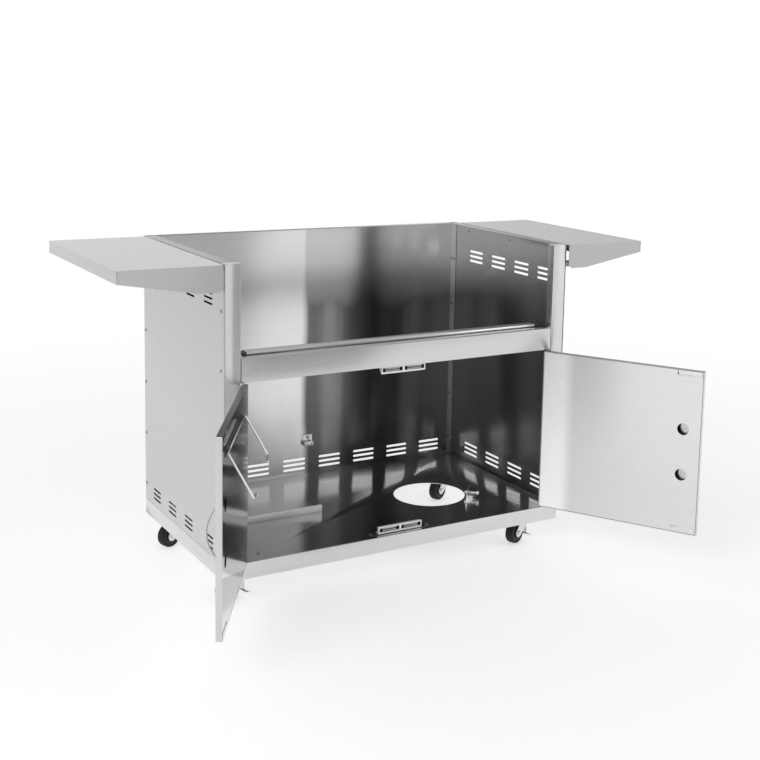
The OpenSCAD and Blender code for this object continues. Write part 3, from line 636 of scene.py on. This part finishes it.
# ---- screws -------------------------------------------------------------------
def screw_places():
    out = []
    zs = [Z0 + v for v in (92, 241, 390, 539.4, 688.6)]
    for s in (-1, 1):
        for y in (22, DEPTH - 10):
            for z in zs:
                out.append(((s * HW, y, z), (s, 0, 0)))
        out.append(((s * 87, 26, Z1 + 1.5), (0, 0, 1)))
        out.append(((s * 87, 26, Z2 - 1.5), (0, 0, -1)))
        for y in (60, 285, 510):
            out.append(((s * (HW + 2), y, Z4 - 22), (s, 0, 0)))
        out.append(((s * 404, 44, ZF), (0, 0, 1)))
    for x in (-385, -139):
        out.append(((x, 263, ZF + 1.5), (0, 0, 1)))
    out.append(((-3.5, DEPTH - T - 1.5, Z0 + 158), (0, -1, 0)))
    return out


def screw_head(r=4.5, h=2.0, shank=2.0, l=6.0):
    """Domed head with a hexagon socket, and its shank."""
    bm = lathe([(0, -l), (shank - 0.4, -l), (shank, -l + 0.5), (shank, 0), (r, 0), (r, h * 0.35), (r * 0.93, h * 0.62),
                (r * 0.72, h * 0.9), (r * 0.45, h), (1.75, h), (1.6, h - 0.15), (1.5, h - 1.0), (0, h - 1.3)], n=28)
    return bm


bm = bmesh.new()
for p, d in screw_places():
    q = Vector((0, 0, 1)).rotation_difference(Vector(d)).to_matrix().to_4x4()
    join_into(bm, screw_head(), Matrix.Translation(p) @ q)
cl = Matrix.Translation((229, 247, ZF)) @ Matrix.Rotation(math.radians(-40), 4, "Z")
for s in (-1, 1):
    join_into(bm, screw_head(4, 2.2), cl @ Matrix.Translation((105.5 + 24, s * 14, 1.5)))
finish_piece(bm, "panel_screw_heads", "screw", "cart", "panel_screws", CART)


# ---- shelves ----------------------------------------------------------------------
def shelf(s):
    x0, x1 = -(HW + 4.5), -(HW + 4.5 + 262.5)
    ya, yb = -7.4, 573.6
    lo_in, lo_out, knee = Z4 - 66.6, Z4 - 32, x0 - 60.8
    bm = bmesh.new()
    cache = {}

    def v(x, y, z):
        key = (round(x, 3), round(y, 3), round(z, 3))
        if key not in cache:
            cache[key] = bm.verts.new((x, y, z))
        return cache[key]

    top = [(x0, ya), (x0, yb), (x1, yb), (x1, ya)]
    bm.faces.new([v(x, y, Z4) for x, y in top])
    side = [(x0, Z4), (x1, Z4), (x1, lo_out), (knee, lo_in), (x0 - 9, lo_in), (x0, lo_in + 14.6), (x0, Z4 - 18)]
    bm.faces.new([v(x, ya, z) for x, z in side])
    bm.faces.new([v(x, yb, z) for x, z in side][::-1])
    bm.faces.new([v(x1, ya, Z4), v(x1, yb, Z4), v(x1, yb, lo_out), v(x1, ya, lo_out)])
    bm.faces.new([v(x0, ya, Z4), v(x0, ya, Z4 - 18), v(x0, yb, Z4 - 18), v(x0, yb, Z4)])
    bmesh.ops.recalc_face_normals(bm, faces=bm.faces[:])
    bm.normal_update()
    topf = max(bm.faces, key=lambda f: f.calc_area() if abs(f.normal.z) > 0.9 else 0)
    if topf.normal.z < 0:
        bmesh.ops.reverse_faces(bm, faces=bm.faces[:])
    inner = [e for e in bm.edges if len(e.link_faces) == 2]
    bmesh.ops.bevel(bm, geom=inner, offset=2.2, segments=4, profile=0.5, affect="EDGES", clamp_overlap=True)
    bm = thicken(bm, 1.5)
    join_into(bm, block(x1 + 1.0, x1 + 14, ya + 2, yb - 2, lo_out, lo_out + 1.5))
    for y in (ya + 150, ya + 430):  # stiffeners spot-welded under the top
        join_into(bm, block(x1 + 18, x0 - 8, y - 12, y + 12, Z4 - 3.4, Z4 - 1.45))
    if s > 0:
        bm.transform(Matrix.Diagonal((-1, 1, 1, 1)))
        bmesh.ops.reverse_faces(bm, faces=bm.faces[:])
    n = "left" if s < 0 else "right"
    return finish_piece(bm, "shelf_%s_sheet" % n, "shelf" if s < 0 else "shelf_r", n + "_shelf",
                        "shelf_" + n, CART)


shelf(-1)
shelf(1)


# ---- doors --------------------------------------------------------------------------
def plate_with_holes(x0, x1, z0, z1, y, holes, n=40, index=0):
    """Flat sheet facing +Y with round holes."""
    bm = bmesh.new()
    loops = [[(x0, z0), (x1, z0), (x1, z1), (x0, z1)]]
    loops += [[(cx + r * math.cos(2 * math.pi * i / n), cz + r * math.sin(2 * math.pi * i / n)) for i in range(n)]
              for cx, cz, r in holes]
    edges = []
    for loop in loops:
        vs = [bm.verts.new((x, y, z)) for x, z in loop]
        edges += [bm.edges.new((vs[i], vs[(i + 1) % len(vs)])) for i in range(len(vs))]
    bmesh.ops.triangle_fill(bm, use_beauty=True, use_dissolve=False, edges=edges)
    bm.normal_update()
    for f in bm.faces:
        if f.normal.y < 0:
            f.normal_flip()
    return bm


def door(s):
    n = "left" if s < 0 else "right"
    body, m = n + "_door", door_frame(s)
    # skin: face and four sides, folded at small radii
    bm = bmesh.new()
    w, h, d = DOOR_W, DOOR_H, DOOR_T
    c = {(i, j, k): bm.verts.new((i * w, j * d, k * h)) for i in (0, 1) for j in (0, 1) for k in (0, 1)}
    bm.faces.new([c[0, 0, 0], c[1, 0, 0], c[1, 0, 1], c[0, 0, 1]])
    bm.faces.new([c[0, 0, 0], c[0, 0, 1], c[0, 1, 1], c[0, 1, 0]])
    bm.faces.new([c[1, 0, 0], c[1, 1, 0], c[1, 1, 1], c[1, 0, 1]])
    bm.faces.new([c[0, 0, 0], c[0, 1, 0], c[1, 1, 0], c[1, 0, 0]])
    bm.faces.new([c[0, 0, 1], c[1, 0, 1], c[1, 1, 1], c[0, 1, 1]])
    bm.normal_update()
    front = min(bm.faces, key=lambda f: f.calc_center_median().y)
    if front.normal.y > 0:
        bmesh.ops.reverse_faces(bm, faces=bm.faces[:])
    folds = [e for e in bm.edges if len(e.link_faces) == 2]
    bmesh.ops.bevel(bm, geom=folds, offset=1.8, segments=4, profile=0.5, affect="EDGES", clamp_overlap=True)
    bm = thicken(bm, T)
    bm.normal_update()
    for f in bm.faces:  # painted shade: the folded top edge takes a darker copy of the steel
        f.material_index = 1 if f.normal.z > 0.7 and f.calc_center_median().z > h - 3 else 0
    finish_piece(bm, "door_%s_shell" % n, ["door_l", "fold_l"] if s < 0 else ["door_r", "fold"], body,
                 "door_%s_skin" % n, m)
    # liner: sheet with two access holes, its rim turned in
    holes = [(GRIP_X, z, 16.5) for z in GRIP_Z]
    g = 2.3
    bm = thicken(plate_with_holes(g, w - g, g, h - g, 14.85, holes), 1.0)
    for a in ((g, w - g, 9.2, 14.2, g, g + 1), (g, w - g, 9.2, 14.2, h - g - 1, h - g),
              (g, g + 1, 9.2, 14.2, g, h - g), (w - g - 1, w - g, 9.2, 14.2, g, h - g)):
        join_into(bm, block(*a, bevel=0.15, segments=1))
    finish_piece(bm, "door_%s_inner" % n, "liner_l" if s < 0 else "liner_r", body, "door_%s_liner" % n, m)
    # bow handle: one bar swelling into two feet
    cc, sag = 64.0, 28.0
    rr = (cc * cc + sag * sag) / (2 * sag)
    zc = h / 2
    half = math.asin(cc / rr)
    pts, rad = [], []
    for i in range(41):
        a = -half + 2 * half * i / 40
        y, z = -(sag - rr + rr * math.cos(a)), zc + rr * math.sin(a)
        pts.append((GRIP_X, min(y, -3.2), z))
        rad.append(4.0)
    bm = tube(pts, rad, 20)
    for z in GRIP_Z:
        join_into(bm, lathe([(0, 0), (6.0, 0), (6.0, 4.6), (5.4, 6.0), (4.2, 7.0), (0, 7.0)],
                            Matrix.Translation((GRIP_X, 0, z)) @ Matrix.Rotation(math.radians(90), 4, "X"), 32))
    finish_piece(bm, "door_%s_bow" % n, "handle", body, "door_%s_handle" % n, m, 40)
    # handle screws: washer head and driver recess, inside the access holes
    bm = bmesh.new()
    for z in GRIP_Z:
        q = Matrix.Translation((GRIP_X, T, z)) @ Matrix.Rotation(math.radians(-90), 4, "X")
        join_into(bm, lathe([(0, -6.4), (2, -6.4), (2, 0), (4.0, 0), (4.0, 1.3), (3.6, 2.2), (2.6, 2.6), (1.5, 2.6),
                             (1.4, 1.4), (0, 1.2)], q, 28))
    finish_piece(bm, "door_%s_screw_heads" % n, "zinc", body, "door_%s_screws" % n, m)


door(-1)
door(1)
for n in ("left", "right"):
    refine("door_%s_pins" % n, "zinc", n + "_door", width=0.3)
    refine("door_%s_strikes" % n, "liner_r" if n == "right" else "liner_l", n + "_door", width=0.25)
refine("holder_clips", "dark", "left_door", width=0.3)

# ---- wire holder: one bent wire ----------------------------------------------------
a0, a1, wy, wz = 116.0, 437.0, DOOR_T + 4.5, BZ
ty, tz = wy + 60, wz - 106
path = bend3([(a0 + 38, ty, tz), (a0, ty, tz), (a0, wy, wz), (a1, wy, wz), (a1, ty, tz), (a1 - 38, ty, tz)], 6.0, 7)
bm = tube(path, 2.5, 16)
for p, k in (((a0 + 38, ty, tz), 1), ((a1 - 38, ty, tz), -1)):
    join_into(bm, lathe([(0, -3.6), (1.8, -3.1), (3.1, -1.8), (3.6, 0), (3.1, 1.8), (1.8, 3.1), (0, 3.6)],
                        Matrix.Translation(p) @ Matrix.Rotation(math.radians(90 * k), 4, "Y"), 20))
finish_piece(bm, "holder_wire", "wire", "holder", "holder_bail", door_frame(-1), 50)


# ---- casters ------------------------------------------------------------------------
def wheel(n):
    m = caster_frame(n) @ Matrix.Translation((TRAIL, 0, WR)) @ Matrix.Rotation(math.radians(90), 4, "X")
    hw = 12.0
    tread = [(24.2, -hw + 1.0), (25.0, -hw), (29.8, -hw), (31.4, -hw + 0.8), (32.2, -hw + 2.6), (32.45, -6), (32.5, 0)]
    tread = tread + [(r, -z) for r, z in tread[-2::-1]]
    bm = lathe(tread + [tread[0]], n=88)
    for f in bm.faces:
        f.material_index = 0
    core = [(4.05, -13.2), (8.6, -13.2), (9.6, -12.6), (10.0, -10.4), (11.2, -9.2), (19.4, -8.8), (20.6, -9.4),
            (21.6, -11.2), (22.6, -11.7), (24.4, -11.4)]
    core = core + [(r, -z) for r, z in core[::-1]]
    join_into(bm, lathe(core + [core[0]], n=72), index=1)
    for i in range(8):  # ribs in the dished faces
        for side in (-1, 1):
            rib = block(10.4, 20.6, -0.9, 0.9, 7.4, 10.4, 0.4)
            join_into(bm, rib, Matrix.Rotation(math.pi * i / 4, 4, "Z") @ (Matrix.Diagonal((1, 1, side, 1))), index=1)
    finish_piece(bm, "wheel_%s_tyre" % n, ["tread", "hub"], "wheel_" + n, "caster_wheel_" + n, m, 35)


for n in CASTERS:
    wheel(n)
    refine("caster_plate_" + n, "zinc", "cart", width=0.5)
    refine("caster_fork_" + n, "zinc", "swivel_" + n, width=0.5)
    refine("caster_axle_" + n, "zinc", "swivel_" + n, width=0.5)
for n in ("fl", "fr"):
    refine("brake_lever_" + n, "zinc", "brake_" + n, width=0.6)
refine("caster_bolts", "zinc", "cart", width=0.5)
refine("caster_beams", "pan", "cart", width=0.3)

# ---- studio ------------------------------------------------------------------------
sc = bpy.context.scene
bm = bmesh.new()
bmesh.ops.create_grid(bm, x_segments=24, y_segments=24, size=14.0)
me = bpy.data.meshes.new("studio_floor")
bm.to_mesh(me)
bm.free()
floor = bpy.data.objects.new("studio_floor", me)
sc.collection.objects.link(floor)
m, nt, bs = tree("studio_floor")
tc = nt.nodes.new("ShaderNodeTexCoord").outputs["Object"]
col = blend_colour(nt, noise(nt, tc, 2.2, 4.0), (0.86, 0.86, 0.86), (0.90, 0.90, 0.90))
nt.links.new(col, bs.inputs["Base Color"])
bs.inputs["Roughness"].default_value = 0.7
bs.inputs["Emission Color"].default_value = (1, 1, 1, 1)
bs.inputs["Emission Strength"].default_value = 0.48
em = nt.nodes.new("ShaderNodeEmission")
em.inputs["Color"].default_value = (1, 1, 1, 1)
em.inputs["Strength"].default_value = 1.0
mx = nt.nodes.new("ShaderNodeMixShader")
ln = nt.nodes.new("ShaderNodeVectorMath")
ln.operation = "LENGTH"
nt.links.new(tc, ln.inputs[0])
nt.links.new(span(nt, ln.outputs["Value"], 0.9, 3.6, 0.0, 1.0, True), mx.inputs[0])
nt.links.new(bs.outputs[0], mx.inputs[1])
nt.links.new(em.outputs[0], mx.inputs[2])
nt.links.new(mx.outputs[0], next(n for n in nt.nodes if n.type == "OUTPUT_MATERIAL").inputs["Surface"])
me.materials.append(m)

world = bpy.data.worlds.new("studio")
sc.world = world
world.use_nodes = True
nt = world.node_tree
nt.nodes.clear()
out = nt.nodes.new("ShaderNodeOutputWorld")
bg = nt.nodes.new("ShaderNodeBackground")
white = nt.nodes.new("ShaderNodeBackground")
white.inputs["Color"].default_value = (1, 1, 1, 1)
white.inputs["Strength"].default_value = 1.0
mix = nt.nodes.new("ShaderNodeMixShader")
lp = nt.nodes.new("ShaderNodeLightPath")
d = nt.nodes.new("ShaderNodeTexCoord").outputs["Generated"]
sep = nt.nodes.new("ShaderNodeSeparateXYZ")
nt.links.new(d, sep.inputs[0])
up = span(nt, sep.outputs["Z"], 0.25, 0.85, 1.0, 0.25, True)
front = span(nt, sep.outputs["Y"], -0.2, -0.95, 1.0, 0.72, True)
right = span(nt, sep.outputs["X"], 0.2, 0.9, 1.0, 0.86, True)
v = math_node(nt, "MULTIPLY", math_node(nt, "MULTIPLY", up, front), right)
nt.links.new(blend_colour(nt, v, (0.0, 0.0, 0.0), (1.0, 1.0, 1.0)), bg.inputs["Color"])
bg.inputs["Strength"].default_value = 0.95
nt.links.new(lp.outputs["Is Camera Ray"], mix.inputs[0])
nt.links.new(bg.outputs[0], mix.inputs[1])
nt.links.new(white.outputs[0], mix.inputs[2])
nt.links.new(mix.outputs[0], out.inputs["Surface"])


def softbox(name, at, aim, size, power):
    li = bpy.data.lights.new(name, "AREA")
    li.shape = "RECTANGLE"
    li.size, li.size_y = size
    li.energy = power
    o = bpy.data.objects.new(name, li)
    o.location = at
    o.rotation_euler = (Vector(aim) - Vector(at)).to_track_quat("-Z", "Y").to_euler()
    sc.collection.objects.link(o)
    return o


softbox("key", (-3.2, -1.9, 2.6), (0, 0, 0.5), (2.4, 1.8), 40)
softbox("fill", (3.4, -2.4, 1.8), (0, 0, 0.4), (2.0, 2.0), 18)


def card(name, x0, x1, y, z0, z1, stops):
    """A studio card that only reflections see; stops are (height, brightness) up the card."""
    me = bpy.data.meshes.new(name)
    me.from_pydata([(x0, y, z0), (x1, y, z0), (x1, y, z1), (x0, y, z1)], [], [(0, 1, 2, 3)])
    o = bpy.data.objects.new(name, me)
    sc.collection.objects.link(o)
    m = bpy.data.materials.new(name)
    m.use_nodes = True
    nt = m.node_tree
    nt.nodes.clear()
    out = nt.nodes.new("ShaderNodeOutputMaterial")
    em = nt.nodes.new("ShaderNodeEmission")
    sep = nt.nodes.new("ShaderNodeSeparateXYZ")
    nt.links.new(nt.nodes.new("ShaderNodeTexCoord").outputs["Object"], sep.inputs[0])
    ramp = nt.nodes.new("ShaderNodeValToRGB")
    el = ramp.color_ramp.elements
    while len(el) < len(stops):
        el.new(0.5)
    for e, (h, b) in zip(el, stops):
        e.position = (h - z0) / (z1 - z0)
        e.color = (b, b, b, 1)
    nt.links.new(span(nt, sep.outputs["Z"], z0, z1, 0.0, 1.0), ramp.inputs[0])
    nt.links.new(ramp.outputs[0], em.inputs["Color"])
    nt.links.new(em.outputs[0], out.inputs["Surface"])
    me.materials.append(m)
    o.visible_camera = False
    o.visible_diffuse = False
    o.visible_shadow = False
    o.visible_transmission = False
    return o


card("grey_card", 0.10, 0.724, -1.6, 0.0, 0.75, [(0.0, 0.25), (0.14, 0.2), (0.27, 0.8), (0.42, 0.35), (0.75, 0.3)])

# ---- camera at the photograph's angle -----------------------------------------------
yaw, pitch, roll = 0.5627, 0.1463, 0.0273
fwd = Vector((math.sin(yaw) * math.cos(pitch), math.cos(yaw) * math.cos(pitch), -math.sin(pitch)))
right_v = Vector((math.cos(yaw), -math.sin(yaw), 0))
up_v = right_v.cross(fwd)
r2 = right_v * math.cos(roll) + up_v * math.sin(roll)
u2 = -right_v * math.sin(roll) + up_v * math.cos(roll)
cam = bpy.data.cameras.new("camera")
cam.sensor_width = 36.0
cam.lens = 60.32
cam.shift_x, cam.shift_y = -0.0977, -0.1506
cam.clip_start, cam.clip_end = 0.05, 100.0
co = bpy.data.objects.new("camera", cam)
sc.collection.objects.link(co)
co.matrix_world = Matrix(((r2.x, u2.x, -fwd.x, -1.6659), (r2.y, u2.y, -fwd.y, -2.9555),
                          (r2.z, u2.z, -fwd.z, 1.3396), (0, 0, 0, 1)))
sc.camera = co
sc.view_settings.view_transform = "Standard"
